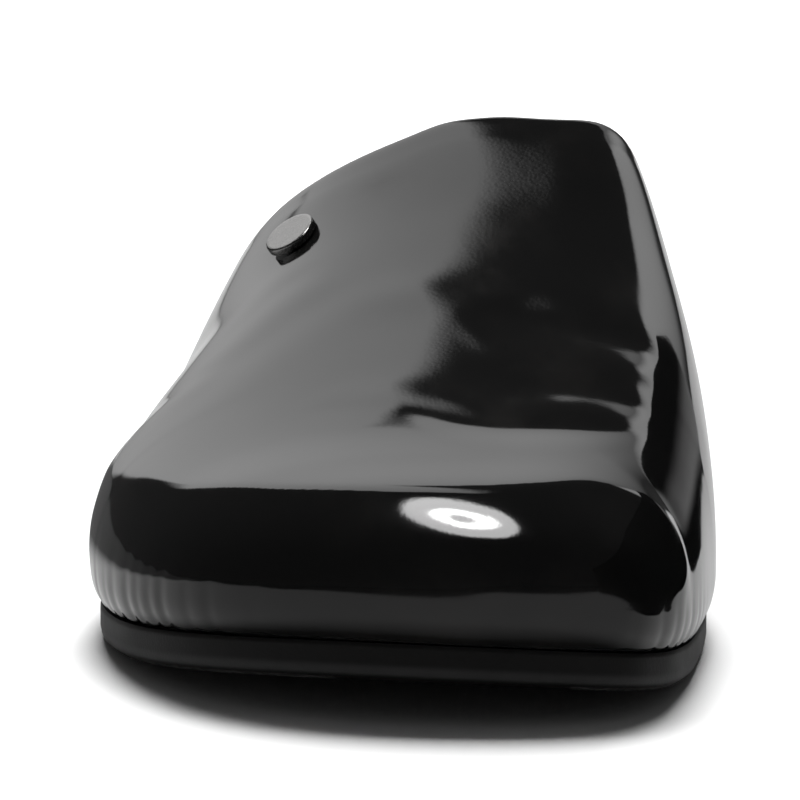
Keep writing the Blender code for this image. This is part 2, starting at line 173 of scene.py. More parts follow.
@dataclass(frozen=True)
class Last:
    """Sizes and curves that the upper, the footbed and the sole share."""

    length: float = 0.282
    sole_inset: float = 0.0018
    sole_thickness: float = 0.0067
    toe_spring: float = 0.0083
    flex_station: float = 0.086
    flex_slant: float = 0.20
    spring_run: float = 0.0826
    wall: float = 0.0022
    gap: float = 0.0003
    bed_clearance: float = 0.0007
    tuck_height: float = 0.0068
    tuck_inset: float = 0.0045
    tuck_reach: float = 1.15
    tuck_limit: float = 0.999
    hub_x: float = 0.006
    hub_station: float = 0.070
    edge_crowding: float = 1.35
    tip_angle: float = 1e-3
    tip_bluntness: float = 0.3
    halvings: int = 44
    outline_samples: int = 360
    outline: tuple[OutlineRow, ...] = listed(
        OutlineRow,
        (0.000, 0.0150, 0.0150),
        (0.005, -0.0120, 0.0415),
        (0.016, -0.0300, 0.0500),
        (0.035, -0.0440, 0.0545),
        (0.060, -0.0530, 0.0568),
        (0.080, -0.0564, 0.0577),
        (0.100, -0.0566, 0.0567),
        (0.130, -0.0520, 0.0522),
        (0.165, -0.0455, 0.0455),
        (0.200, -0.0400, 0.0425),
        (0.235, -0.0350, 0.0420),
        (0.256, -0.0295, 0.0385),
        (0.270, -0.0210, 0.0300),
        (0.278, -0.0110, 0.0200),
        (0.282, 0.0045, 0.0045),
    )
    sections: tuple[SectionRow, ...] = listed(
        SectionRow,
        (0.0000, 0.0170, 0.02400, 0.0238, 2.2, 2.00, 2.2, 2.0),
        (0.0020, 0.0175, 0.03160, 0.0235, 2.2, 2.05, 2.3, 2.1),
        (0.0055, 0.0181, 0.03560, 0.0229, 2.3, 2.10, 2.4, 2.2),
        (0.0083, 0.0184, 0.03755, 0.0223, 2.4, 2.10, 2.4, 2.2),
        (0.0143, 0.0190, 0.04005, 0.0212, 2.5, 2.10, 2.5, 2.2),
        (0.0280, 0.0195, 0.04310, 0.0192, 2.7, 2.10, 2.9, 2.3),
        (0.0450, 0.0200, 0.04700, 0.0175, 2.6, 2.00, 3.2, 2.3),
        (0.0800, 0.0210, 0.05920, 0.0155, 2.7, 1.80, 4.6, 2.2),
        (0.1150, 0.0215, 0.07420, 0.0150, 3.15, 1.11, 5.0, 2.3),
        (0.1400, 0.0205, 0.08700, 0.0150, 3.15, 1.12, 5.0, 2.1),
        (0.2000, 0.0185, 0.10400, 0.0160, 3.1, 1.15, 5.0, 2.1),
    )
    collar: tuple[CollarRow, ...] = listed(
        CollarRow,
        (0.00, 0.184, 0.184),
        (0.20, 0.180, 0.180),
        (0.45, 0.162, 0.164),
        (0.65, 0.1442, 0.1486),
        (0.82, 0.1370, 0.1424),
        (0.93, 0.1382, 0.1430),
        (1.00, 0.1416, 0.1416),
    )
    bed: tuple[BedRow, ...] = listed(
        BedRow,
        (0.000, 0.0085, 0.0130, 0.0130, 0.014),
        (0.040, 0.0082, 0.0125, 0.0125, 0.014),
        (0.064, 0.0100, 0.0120, 0.0120, 0.015),
        (0.092, 0.0086, 0.0120, 0.0120, 0.017),
        (0.140, 0.0110, 0.0160, 0.0180, 0.024),
        (0.180, 0.0125, 0.0205, 0.0235, 0.027),
        (0.220, 0.0118, 0.0255, 0.0275, 0.027),
        (0.258, 0.0118, 0.0285, 0.0290, 0.026),
        (0.282, 0.0125, 0.0295, 0.0295, 0.025),
    )
    sole_side: tuple[SideRow, ...] = listed(
        SideRow,
        (0.00, 0.0016),
        (0.10, 0.0006),
        (0.30, 0.0001),
        (0.92, 0.0000),
        (1.00, 0.0003),
    )
    bed_side: tuple[SideRow, ...] = listed(
        SideRow,
        (0.00, 0.0028),
        (0.22, 0.0008),
        (0.48, 0.0000),
        (0.78, 0.0008),
        (0.95, 0.0022),
        (1.00, 0.0044),
    )

    @property
    def middle_station(self) -> float:
        """Station of the origin, halfway along the sole."""
        return (self.length - self.sole_inset) / 2

    @property
    def bed_inset(self) -> float:
        """How far the footbed stands in from the plan."""
        return self.wall + self.bed_clearance

    @property
    def hub_height(self) -> float:
        """Height of the line that the upper's ribs are spun from."""
        return self.sole_thickness + self.gap

    def turned(self, station: Number) -> Array:
        """A station as an angle round a half circle, which makes toe and heel come out round."""
        return np.arccos(np.clip(1 - 2 * np.asarray(station, float) / self.length, -1, 1))

    def by_station(self, table: Sequence[Any], name: str, station: Number) -> Array:
        """Reads one column of a table at any station.

        Args:
            table: Rows that have a station.
            name: The column.
            station: Where to read.

        Returns:
            The column's values there.
        """
        places = self.turned(column(table, "station"))
        return smooth_curve(places, column(table, name), self.turned(station))

    def sides(self, station: Number, inward: Number) -> tuple[Array, Array]:
        """The plan's lateral and medial edge at stations, drawn in by a distance."""
        lateral, medial = (self.by_station(self.outline, k, station) for k in ("lateral", "medial"))
        return lateral + inward, medial - inward

    def sole_bottom(self, x: Number, station: Number) -> Array:
        """Height of the walking face: flat under ball and heel, sprung at the toe."""
        ahead = np.maximum(0, self.flex_station - self.flex_slant * x - station)
        return self.toe_spring * (ahead / self.spring_run) ** 2

    def sole_top(self, x: Number, station: Number) -> Array:
        """Height of the sole's upper face."""
        return self.sole_bottom(x, station) + self.sole_thickness

    def skin_side(self, x: Array, station: Array, z: Array) -> Array:
        """Tells on which side of the upper's outer skin points lie.

        Args:
            x: Places across.
            station: Places along.
            z: Heights.

        Returns:
            Numbers below 0 inside the skin and above 0 outside.
        """
        low = self.sole_top(x, station)
        drop = (low + self.tuck_height - z) / (self.tuck_height * self.tuck_reach)
        inset = self.tuck_inset * (1 - np.sqrt(1 - np.clip(drop, 0, self.tuck_limit) ** 2))
        ahead = station - inset
        lateral, medial = self.sides(np.maximum(ahead, 0), inset)

        def here(name: str) -> Array:
            """One column of the cross-sections at these stations."""
            return self.by_station(self.sections, name, station)

        ridge = np.clip(here("ridge"), lateral, medial)
        is_lateral = x < ridge
        reach = np.maximum(np.where(is_lateral, ridge - lateral, medial - ridge), TINY)
        out = np.where(is_lateral, here("lateral_out"), here("medial_out"))
        up = np.where(is_lateral, here("lateral_up"), here("medial_up"))
        side_top = here("side_top")
        sideways = np.abs(x - ridge) / reach
        rise = np.maximum(here("crown") - side_top, TINY)
        upwards = np.maximum(z - side_top, 0) / rise
        return np.where(ahead <= 0, 1.0, sideways**out + upwards**up - 1)

    def first_crossing(self, place: Callable[[Array], Arrays], reach: Array) -> Array:
        """Finds where lines leave the skin.

        Args:
            place: Gives the lines' points at distances along them.
            reach: The greatest distances.

        Returns:
            The distance of each line's way out.
        """
        near, far = np.zeros_like(reach), reach.copy()
        for _ in range(self.halvings):
            half = (near + far) / 2
            inside = self.skin_side(*place(half)) < 0
            near, far = np.where(inside, half, near), np.where(inside, far, half)
        return (near + far) / 2

    def skin_point(self, bearing: Array, rise: Array, station: Array) -> Array:
        """Finds points on the upper's skin, seen from the hub line.

        Args:
            bearing: 0 looks at the toe and a quarter turn at the medial side.
            rise: 0 is the bottom edge and 1 straight up.
            station: Where on the hub line to look from.

        Returns:
            The points, one row each.
        """
        side, forward = np.sin(bearing), np.cos(bearing)

        def level(distance: Array) -> Arrays:
            """Points just over the sole."""
            x, along = self.hub_x + distance * side, station - distance * forward
            return x, along, self.sole_top(x, along) + self.gap

        reach = np.full_like(bearing, self.length / 2)
        edge = self.first_crossing(level, reach)
        edge_angle = np.arctan2(level(edge)[2] - self.hub_height, edge)
        angle = edge_angle + rise * (np.pi / 2 - edge_angle)

        def climbing(distance: Array) -> Arrays:
            """Points on the slanting lines of sight."""
            flat = distance * np.cos(angle)
            height = self.hub_height + distance * np.sin(angle)
            return self.hub_x + flat * side, station - flat * forward, height

        x, along, z = climbing(self.first_crossing(climbing, reach))
        return np.stack([x, along - self.middle_station, z], axis=-1)

    def crowded(self, share: Array) -> Array:
        """Shares of a half-width from -1 to 1, drawn together towards both ends."""
        return np.sign(share) * (1 - (1 - np.abs(share)) ** self.edge_crowding)

    def draped(self, a: Array, b: Array) -> Array:
        """Finds the upper's skin at points of a square sheet.

        Args:
            a: -1 on the lateral edge to 1 on the medial edge.
            b: -1 at the toe's bottom edge, 0 at the hub, 1 at the collar.

        Returns:
            The points, one row each.
        """
        across, ahead = rounded_square(self.crowded(a), self.crowded(np.minimum(b, 0)))
        bearing = np.arctan2(across, -ahead)
        rise = 1 - np.minimum(np.hypot(across, ahead), 1)
        rises = column(self.collar, "rise")
        lateral = smooth_curve(rises, column(self.collar, "lateral"), rise)
        medial = smooth_curve(rises, column(self.collar, "medial"), rise)
        back = np.where(a < 0, lateral, medial)
        station = self.hub_station + np.maximum(b, 0) * (back - self.hub_station)
        return self.skin_point(bearing, rise, station)

    def off_tips(self, angle: Array) -> Array:
        """An angle from toe to heel, kept a little off both tips."""
        return np.clip(angle, self.tip_angle, np.pi - self.tip_angle)

    def drawn_in(self, angle: Array, inset: Number) -> Arrays:
        """Draws the plan in, sideways less and less towards the toe's and heel's tips.

        Args:
            angle: Where along the plan, from 0 at the toe to half a turn at the heel.
            inset: How far the plan is drawn in.

        Returns:
            The lateral edge, the medial edge and the station.
        """
        whole = self.length * (1 - np.cos(angle)) / 2
        sideways = np.sin(angle) / np.hypot(np.sin(angle), self.tip_bluntness)
        lateral, medial = self.sides(whole, inset * sideways)
        return lateral, medial, inset + whole * (self.length - 2 * inset) / self.length

    def plan_point(self, a: Array, b: Array, inset: Number) -> tuple[Array, Array]:
        """Spreads points of a square over the plan.

        Args:
            a: -1 on the lateral edge to 1 on the medial edge.
            b: -1 at the toe to 1 at the heel.
            inset: How far the plan is drawn in.

        Returns:
            Places across and stations.
        """
        across, along = ringed_square(a, b)
        angle = self.off_tips(np.arccos(np.clip(-along, -1, 1)))
        lateral, medial, station = self.drawn_in(angle, inset)
        half = np.maximum(medial - lateral, 0) / 2
        return (lateral + medial) / 2 + across / np.sin(angle) * half, station

    def bed_edge_distance(self, x: Array, station: Array) -> Array:
        """How far points of the plan are from the footbed's edge."""
        turn = np.linspace(-np.pi, np.pi, self.outline_samples, endpoint=False)
        lateral, medial, along = self.drawn_in(self.off_tips(np.abs(turn)), self.bed_inset)
        across = np.where(turn < 0, lateral, medial)
        return np.hypot(x[:, None] - across, station[:, None] - along).min(axis=1)

    def bed_rim(self, x: Array, station: Array) -> Array:
        """Height of the footbed's rim over the sole, blended from one side to the other."""
        lateral, medial = self.sides(station, 0)
        share = eased((x - lateral) / np.maximum(medial - lateral, TINY))
        low = self.by_station(self.bed, "lateral_rim", station)
        return low + share * (self.by_station(self.bed, "medial_rim", station) - low)

    def bed_top(self, x: Array, station: Array) -> Array:
        """Height of the footbed's cupped face."""
        middle = self.by_station(self.bed, "middle", station)
        inward = self.bed_edge_distance(x, station) - self.bed_side[-1].inset
        near = np.clip(1 - inward / self.by_station(self.bed, "cup", station), 0, 1)
        return self.sole_top(x, station) + middle + (self.bed_rim(x, station) - middle) * near**2


# Shader nodes and finishes


class Kind(Enum):
    """What a pattern is made of."""

    NOISE = "ShaderNodeTexNoise"
    CELLS = "ShaderNodeTexVoronoi"


@dataclass(frozen=True)
class Cloud:
    """A pattern: its scale, its detail, how it is stretched, and the span it is cut to."""

    scale: float
    detail: float = 3.0
    rough: float = 0.6
    stretch: Optional[Triple] = None
    span: Optional[Pair] = None
    kind: Kind = Kind.NOISE


Blend = tuple[tuple[Cloud, float], ...]


class Value:
    """A shader socket that takes part in sums, each of which adds a Math node."""

    def __init__(self, book: "NodeBook", socket: bpy.types.NodeSocket) -> None:
        """Wraps a socket of a material's nodes."""
        self.book = book
        self.socket = socket

    def _with(self, operation: str, left: Any, right: Any) -> "Value":
        """Adds one Math node and gives its result."""
        return self.book.value("ShaderNodeMath", {"operation": operation}, {0: left, 1: right})

    def __add__(self, other: Any) -> "Value":
        """Sum."""
        return self._with("ADD", self, other)

    __radd__ = __add__

    def __sub__(self, other: Any) -> "Value":
        """Difference."""
        return self._with("SUBTRACT", self, other)

    def __rsub__(self, other: Any) -> "Value":
        """Difference from a number."""
        return self._with("SUBTRACT", other, self)

    def __mul__(self, other: Any) -> "Value":
        """Product."""
        return self._with("MULTIPLY", self, other)

    __rmul__ = __mul__

    def __pow__(self, other: Any) -> "Value":
        """Power."""
        return self._with("POWER", self, other)

    def between(self, low: float, high: float) -> "Value":
        """A soft step from 0 at low to 1 at high."""
        soft = {"interpolation_type": "SMOOTHSTEP"}
        return self.book.value("ShaderNodeMapRange", soft, {"Value": self, 1: low, 2: high})


class NodeBook:
    """Writes shader nodes into a node tree."""

    def __init__(self, tree: bpy.types.NodeTree) -> None:
        """Starts with an empty tree."""
        self.tree = tree
        self.tree.nodes.clear()
        self.patterns: dict[Cloud, Value] = {}

    @staticmethod
    def for_material(name: str) -> "NodeBook":
        """A book for a new material of that name."""
        material = bpy.data.materials.new(name)
        material.use_nodes = True
        return NodeBook(material.node_tree)

    def node(self, kind: str, settings: Settings, sockets: Links) -> bpy.types.Node:
        """Adds a node.

        Args:
            kind: The node's type.
            settings: Its own settings, set first.
            sockets: Values or links of its inputs, by name or number.

        Returns:
            The node.
        """
        made = self.tree.nodes.new(kind)
        for name, setting in settings.items():
            setattr(made, name, setting)
        for key, wanted in sockets.items():
            if isinstance(wanted, Value):
                self.tree.links.new(wanted.socket, made.inputs[key])
            else:
                made.inputs[key].default_value = wanted
        return made

    def value(self, kind: str, settings: Settings, sockets: Links, out: Any = 0) -> Value:
        """Adds a node and gives one of its outputs."""
        return Value(self, self.node(kind, settings, sockets).outputs[out])

    def mirrored(self) -> Value:
        """1 where a gloss looks on, and 0 elsewhere."""
        return self.value("ShaderNodeLightPath", {}, {}, "Is Glossy Ray")

    def place(self) -> Value:
        """Object coordinates, in metres."""
        return self.value("ShaderNodeTexCoord", {}, {}, "Object")

    def axes(self) -> tuple[Value, ...]:
        """Places across, along and upwards."""
        parts = self.node("ShaderNodeSeparateXYZ", {}, {0: self.place()}).outputs
        return tuple(Value(self, part) for part in parts)

    def pattern(self, cloud: Cloud) -> Value:
        """A pattern from 0 to 1, written once for each cloud.

        Args:
            cloud: What it looks like. Cells have a scale only.

        Returns:
            The pattern.
        """
        if cloud in self.patterns:
            return self.patterns[cloud]
        place = self.place()
        if cloud.stretch is not None:
            place = self.value("ShaderNodeMapping", {}, {"Vector": place, "Scale": cloud.stretch})
        sockets, settings = {"Vector": place, "Scale": cloud.scale}, {"feature": "SMOOTH_F1"}
        if cloud.kind is Kind.NOISE:
            sockets, settings = {**sockets, "Detail": cloud.detail, "Roughness": cloud.rough}, {}
        made = self.value(cloud.kind.value, settings, sockets)
        self.patterns[cloud] = made.between(*cloud.span) if cloud.span else made
        return self.patterns[cloud]

    def blend(self, parts: Blend) -> Value:
        """A sum of patterns, each with its share."""
        first, *more = (self.pattern(cloud) * share for cloud, share in parts)
        return sum(more, first)

    def wave(self, place: Value, pitch: float) -> Value:
        """A sine wave of a given pitch."""
        turned = place * (2 * math.pi / pitch)
        return self.value("ShaderNodeMath", {"operation": "SINE"}, {0: turned})

    def mixed(self, share: Any, low: Any, high: Any) -> Value:
        """A colour between two others."""
        sockets = {0: share, 6: low, 7: high}
        return self.value("ShaderNodeMix", {"data_type": "RGBA"}, sockets, 2)

    def bumped(self, height: Value, depth: float, under: Links = {}) -> Value:
        """A normal that follows a height from 0 to 1 that is depth metres deep."""
        sockets = {"Height": height, "Distance": depth, "Strength": 1.0, **under}
        return self.value("ShaderNodeBump", {}, sockets)

    def finish(self, sockets: Settings) -> bpy.types.Material:
        """Closes the material with a principled shader.

        Args:
            sockets: The shader's inputs.

        Returns:
            The material.
        """
        shader = self.value("ShaderNodeBsdfPrincipled", {}, sockets)
        self.node("ShaderNodeOutputMaterial", {}, {"Surface": shader})
        return next(made for made in bpy.data.materials if made.node_tree == self.tree)


Colour = tuple[float, float, float, float]
Sockets = dict[str, Any]
Constants = tuple[tuple[str, float], ...]


def grey(level: float, warmth: float = 0.0) -> Colour:
    """A grey, leaning to brown with warmth."""
    return (level * (1 + warmth), level, level * (1 - warmth), 1.0)


@dataclass(frozen=True)
class Finish:
    """A finish whose patterns move it between two greys, two roughnesses and two heights.

    The greys are given as a share of the level and a warmth, the roughness as its least and its
    gain, and the relief by its depth in metres. A slower relief can lie under it.
    """

    name: str
    level: float
    dark: Pair = (1.0, 0.0)
    pale: Pair = (1.0, 0.0)
    rough: Pair = (0.5, 0.0)
    depth: float = 0.0
    tint: Blend = ()
    polish: Blend = ()
    relief: Blend = ()
    under: Blend = ()
    under_depth: float = 0.0
    constants: Constants = ()

    def shaded(self, book: NodeBook, share: Value) -> Value:
        """A colour between the two greys."""
        dark, pale = (grey(self.level * part, warmth) for part, warmth in (self.dark, self.pale))
        return book.mixed(share, dark, pale)

    def colour(self, book: NodeBook) -> Value:
        """The colour that the patterns give."""
        return self.shaded(book, book.blend(self.tint))

    def sockets(self, book: NodeBook) -> Sockets:
        """The shader's inputs that vary."""
        under: Sockets = {}
        if self.under:
            under = {"Normal": book.bumped(book.blend(self.under), self.under_depth)}
        return {
            "Base Color": self.colour(book),
            "Roughness": self.rough[0] + self.rough[1] * book.blend(self.polish),
            "Normal": book.bumped(book.blend(self.relief), self.depth, under),
        }

    def material(self) -> bpy.types.Material:
        """The finish as a material."""
        book = NodeBook.for_material(self.name)
        return book.finish({**self.sockets(book), **dict(self.constants)})


# Polished black leather with a mirror finish over a faint grain
SMEARS = Cloud(45, 4, stretch=(1.0, 0.6, 1.0), span=(0.45, 0.75))
GLOSS_LEATHER = Finish(
    "gloss_leather", 0.0035, pale=(1.8, 0.05), rough=(0.06, 0.05), depth=0.0000025,
    tint=((SMEARS, 1.0),), polish=((SMEARS, 1.0),), relief=((Cloud(1500, kind=Kind.CELLS), 1.0),),
    under=((Cloud(240, 2, 0.4), 1.0),), under_depth=0.000006, constants=(("IOR", 1.42),),
)

# Brushed black lining on the inside of the upper
NAP = Cloud(1400, stretch=(1.0, 0.35, 1.0))
NAPPED_LINING = Finish(
    "napped_lining", 0.012, (0.6, 0.0), (1.7, 0.06), (0.72, 0.2), 0.00018,
    tint=((Cloud(60), 0.5), (NAP, 0.5)), polish=((NAP, 1.0),), relief=((NAP, 1.0),),
)

# Satin black paint on the cut edge of the upper
DRAG = Cloud(900, stretch=(0.4, 1.0, 1.0))
EDGE_PAINT = Finish(
    "edge_paint", 0.006, (0.7, 0.0), (1.5, 0.04), (0.5, 0.2), 0.00008,
    ((DRAG, 1.0),), ((DRAG, 1.0),), ((DRAG, 1.0),), constants=(("Specular IOR Level", 0.25),),
)

# Satin black leather drawn round the footbed
BED_WEAR = Cloud(38, 4, span=(0.4, 0.75))
BED_LEATHER = Finish(
    "bed_leather", 0.007, (1.0, 0.0), (1.7, 0.05), (0.34, 0.14), 0.00009,
    tint=((BED_WEAR, 1.0),), polish=((BED_WEAR, 1.0),), constants=(("IOR", 1.48),),
    relief=((Cloud(900, kind=Kind.CELLS), 1.0), (Cloud(2100, kind=Kind.CELLS), 0.6)),
)

# Soft matt leather under the foot
SUEDE = Cloud(1100, 4, 0.65)
INSOLE_LEATHER = Finish(
    "insole_leather", 0.012, (0.7, 0.02), (1.6, 0.08), (0.58, 0.16), 0.00014,
    tint=((Cloud(26, 4, span=(0.38, 0.72)), 0.7), (SUEDE, 0.3)), polish=((SUEDE, 1.0),),
    relief=((SUEDE, 0.5), (Cloud(780, kind=Kind.CELLS), 0.5)),
)

# Dark polished metal of the cap rivet
BRUSHED = Cloud(1600, stretch=(1.0, 6.0, 1.0))
CAP_METAL = Finish(
    "cap_metal", 0.2, (0.85, 0.0), (1.15, 0.02), (0.2, 0.12), 0.000004,
    ((Cloud(300), 1.0),), ((BRUSHED, 1.0),), ((BRUSHED, 1.0),), constants=(("Metallic", 1.0),),
)


@dataclass(frozen=True)
class PaintedHighlightRubber(Finish):
    """Rubber with a painted highlight: a paler stripe along its foot, where its rounded lower edge
    would catch the floor's light.
    """

    # Grey of the painted highlight stripe along the sole's foot
    highlight_level: float = 0.024
    foot_span: Pair = (0.08, 0.20)
    top_span: Pair = (0.26, 0.50)
    mottle: Pair = (0.7, 0.6)

    def colour(self, book: NodeBook) -> Value:
        """The rubber's clouds with the painted highlight stripe over them."""
        rise = book.value("ShaderNodeAttribute", {"attribute_name": RISE}, {}, "Fac")
        # Painted highlight: a paler stripe where the sole's lower edge would catch the floor's
        # light
        stripe = rise.between(*self.foot_span) * (1 - rise.between(*self.top_span))
        cloud = book.blend(self.tint)
        highlight = stripe * (self.mottle[0] + self.mottle[1] * cloud)
        return book.mixed(highlight, self.shaded(book, cloud), grey(self.highlight_level))


# Black rubber, moulded smooth on its side, with a painted highlight stripe along the foot of its
# side
RUBBER_CLOUD = Cloud(90, 4)
SOLE_RUBBER = PaintedHighlightRubber(
    "sole_rubber", 0.005, (0.8, 0.0), (1.4, 0.03), (0.44, 0.16), 0.00006,
    ((RUBBER_CLOUD, 1.0),), ((RUBBER_CLOUD, 1.0),), ((Cloud(1800), 1.0),),
    constants=(("Specular IOR Level", 0.12),),
)


@dataclass(frozen=True)
class TreadRubber(Finish):
    """The walking face: fine waves across the sole."""

    name: str = "tread_rubber"
    level: float = 0.013
    dark: Pair = (0.55, 0.0)
    pale: Pair = (1.3, 0.03)
    rough: Pair = (0.62, 0.2)
    depth: float = 0.0007
    wave_pitch: float = 0.0042
    rib_span: Pair = (-0.35, 0.35)
    sway: float = 0.0016
    sway_pitch: float = 0.014
    speck: Cloud = Cloud(1500)
    speck_share: float = 0.06

    def sockets(self, book: NodeBook) -> Sockets:
        """Swaying ribs with specks."""
        across, along, _ = book.axes()
        swayed = along + book.wave(across, self.sway_pitch) * self.sway
        rib = book.wave(swayed, self.wave_pitch).between(*self.rib_span)
        speck = book.pattern(self.speck)
        return {
            "Base Color": self.shaded(book, rib),
            "Roughness": self.rough[0] + self.rough[1] * speck,
            "Normal": book.bumped(rib + self.speck_share * speck, self.depth),
        }


@dataclass(frozen=True)
class PaleFloor(Finish):
    """Matt white studio floor.

    The gloss sees it dimmed, dark beyond a line before the toe, and shaded behind the slipper.
    """

    name: str = "pale_floor"
    level: float = 0.86
    dark: Pair = (0.99, 0.0)
    pale: Pair = (1.01, 0.0)
    rough: Pair = (0.75, 0.1)
    constants: Constants = (("Specular IOR Level", 0.1),)
    cloud: Cloud = Cloud(3, rough=0.5)
    dim_level: float = 0.42
    dark_level: float = 0.02
    dark_line: Pair = (-0.38, -0.30)
    shade_level: float = 0.06
    shade_slant: float = 0.35
    shade_across: Pair = (-0.04, 0.02)
    shade_along: Pair = (0.0, 0.06)

    def sockets(self, book: NodeBook) -> Sockets:
        """White paper for the eye, and what the gloss sees instead."""
        across, along, _ = book.axes()
        cloud = book.pattern(self.cloud)
        ahead = along.between(*self.dark_line)
        seen = book.mixed(ahead, grey(self.dark_level), grey(self.dim_level))
        beside = 1 - (across + self.shade_slant * along).between(*self.shade_across)
        shade = beside * along.between(*self.shade_along)
        seen = book.mixed(shade, seen, grey(self.shade_level))
        return {
            "Base Color": book.mixed(book.mirrored(), self.shaded(book, cloud), seen),
            "Roughness": self.rough[0] + self.rough[1] * cloud,
        }


@dataclass(frozen=True)
class BlackCard(Finish):
    """Matt black card with a paler patch, which glows at the finish's level."""

    name: str = "black_card"
    level: float = 0.30
    constants: Constants = (
        ("Roughness", 0.9), ("Specular IOR Level", 0.0), ("Emission Strength", 1.0),
    )
    black_level: float = 0.004
    along_span: Pair = (-0.02, 0.03)
    foot_span: Pair = (0.022, 0.036)
    top_span: Pair = (0.052, 0.072)
    mottle: Pair = (0.8, 0.4)
    cloud: Cloud = Cloud(30, 2, 0.5)

    def sockets(self, book: NodeBook) -> Sockets:
        """Black, and the patch's glow."""
        _, along, height = book.axes()
        patch = along.between(*self.along_span) * height.between(*self.foot_span)
        patch = patch * (1 - height.between(*self.top_span))
        patch = patch * (self.mottle[0] + self.mottle[1] * book.pattern(self.cloud))
        glow = book.mixed(patch, grey(0.0), grey(self.level))
        return {"Base Color": grey(self.black_level), "Emission Color": glow}


# Modelling steps that the pieces share


class Bench:
    """Hand steps on one object at a time."""

    @staticmethod
    def hold(made: Piece) -> None:
        """Selects one object alone."""
        bpy.ops.object.select_all(action="DESELECT")
        made.select_set(True)
        bpy.context.view_layer.objects.active = made

    @staticmethod
    def add(name: str, step: Callable[..., Any], **settings: Any) -> Piece:
        """Adds an object by one of Blender's steps and names it.

        Args:
            name: The object's name.
            step: The step that adds it.
            settings: The step's settings.

        Returns:
            The object, which is the only one selected.
        """
        bpy.ops.object.select_all(action="DESELECT")
        step(**settings)
        made = bpy.context.object
        made.name = made.data.name = name
        return made

    @staticmethod
    def points(made: Piece) -> Array:
        """The mesh's points, one row each."""
        rows = np.empty((len(made.data.vertices), 3))
        made.data.vertices.foreach_get("co", rows.ravel())
        return rows

    @staticmethod
    def normals(made: Piece) -> Array:
        """The mesh's directions out of its surface, one row for each point."""
        rows = np.empty((len(made.data.vertices), 3))
        made.data.vertex_normals.foreach_get("vector", rows.ravel())
        return rows

    @staticmethod
    def move(made: Piece, points: Array) -> None:
        """Puts the mesh's points in new places."""
        made.data.vertices.foreach_set("co", points.ravel())
        made.data.update()

    @staticmethod
    def apply(made: Piece, kind: str, settings: Settings) -> None:
        """Adds a modifier and applies it.

        Args:
            made: The object.
            kind: The modifier's type.
            settings: The modifier's settings.
        """
        Bench.hold(made)
        step = made.modifiers.new(kind.lower(), kind)
        for name, setting in settings.items():
            setattr(step, name, setting)
        bpy.ops.object.modifier_apply(modifier=step.name)

    @staticmethod
    def pick(made: Piece, wanted: Callable[[Any], bool], kind: str) -> None:
        """Goes into edit mode with some of the mesh's parts selected.

        Args:
            made: The object.
            wanted: Tells which parts are selected.
            kind: VERT, EDGE or FACE.
        """
        Bench.hold(made)
        bpy.ops.object.mode_set(mode="EDIT")
        bpy.ops.mesh.select_mode(type=kind)
        bpy.ops.mesh.select_all(action="DESELECT")
        mesh = bmesh.from_edit_mesh(made.data)
        for part in {"VERT": mesh.verts, "EDGE": mesh.edges, "FACE": mesh.faces}[kind]:
            part.select_set(wanted(part))
        mesh.select_flush_mode()
        bmesh.update_edit_mesh(made.data)

    @staticmethod
    def leave() -> None:
        """Goes back to object mode."""
        bpy.ops.object.mode_set(mode="OBJECT")

    @staticmethod
    def divide(made: Piece, axis: int, steps: int) -> None:
        """Divides a box's edges along one axis.

        Args:
            made: A box from -1 to 1.
            axis: 0, 1 or 2.
            steps: Into how many parts.
        """
        def along(edge: Any) -> bool:
            """Tells the edges that run along the axis."""
            first, second = edge.verts
            return abs(first.co[axis] - second.co[axis]) > 1

        Bench.pick(made, along, "EDGE")
        bpy.ops.mesh.subdivide(number_cuts=steps - 1)
        Bench.leave()

    @staticmethod
    def smooth(made: Piece, degrees: float) -> None:
        """Shades the mesh smoothly, apart from sharp edges."""
        Bench.hold(made)
        bpy.ops.object.shade_smooth_by_angle(angle=math.radians(degrees))


# The pieces


@dataclass(frozen=True)
class Crease:
    """A soft trough in the leather, from point to point of the plan, with low ridges beside it.

    The ridge is a share of the depth and stands so many widths off. The fade is the share of the
    length that each end takes, and the waist is the width at the ends and what it gains.
    """

    start: Pair
    end: Pair
    width: float
    depth: float
    bow: float = 0.0
    ridge: float = 0.35
    ridge_off: float = 2.1
    fade: float = 0.3
    waist: Pair = (0.55, 0.45)


@dataclass(frozen=True)
class Swell:
    """A soft rise or hollow of the leather round one point."""

    place: Pair
    size: Pair
    height: float


@dataclass(frozen=True)
class Gather:
    """A short upright pleat over the sole: its bearing from the toe in degrees and its sizes."""

    bearing: float
    depth: float
    climb: float
    width: float


@dataclass(frozen=True)
class EdgeRow:
    """A point of the toe box's edge: its bearing in degrees and its distance from the hub."""

    bearing: float
    reach: float


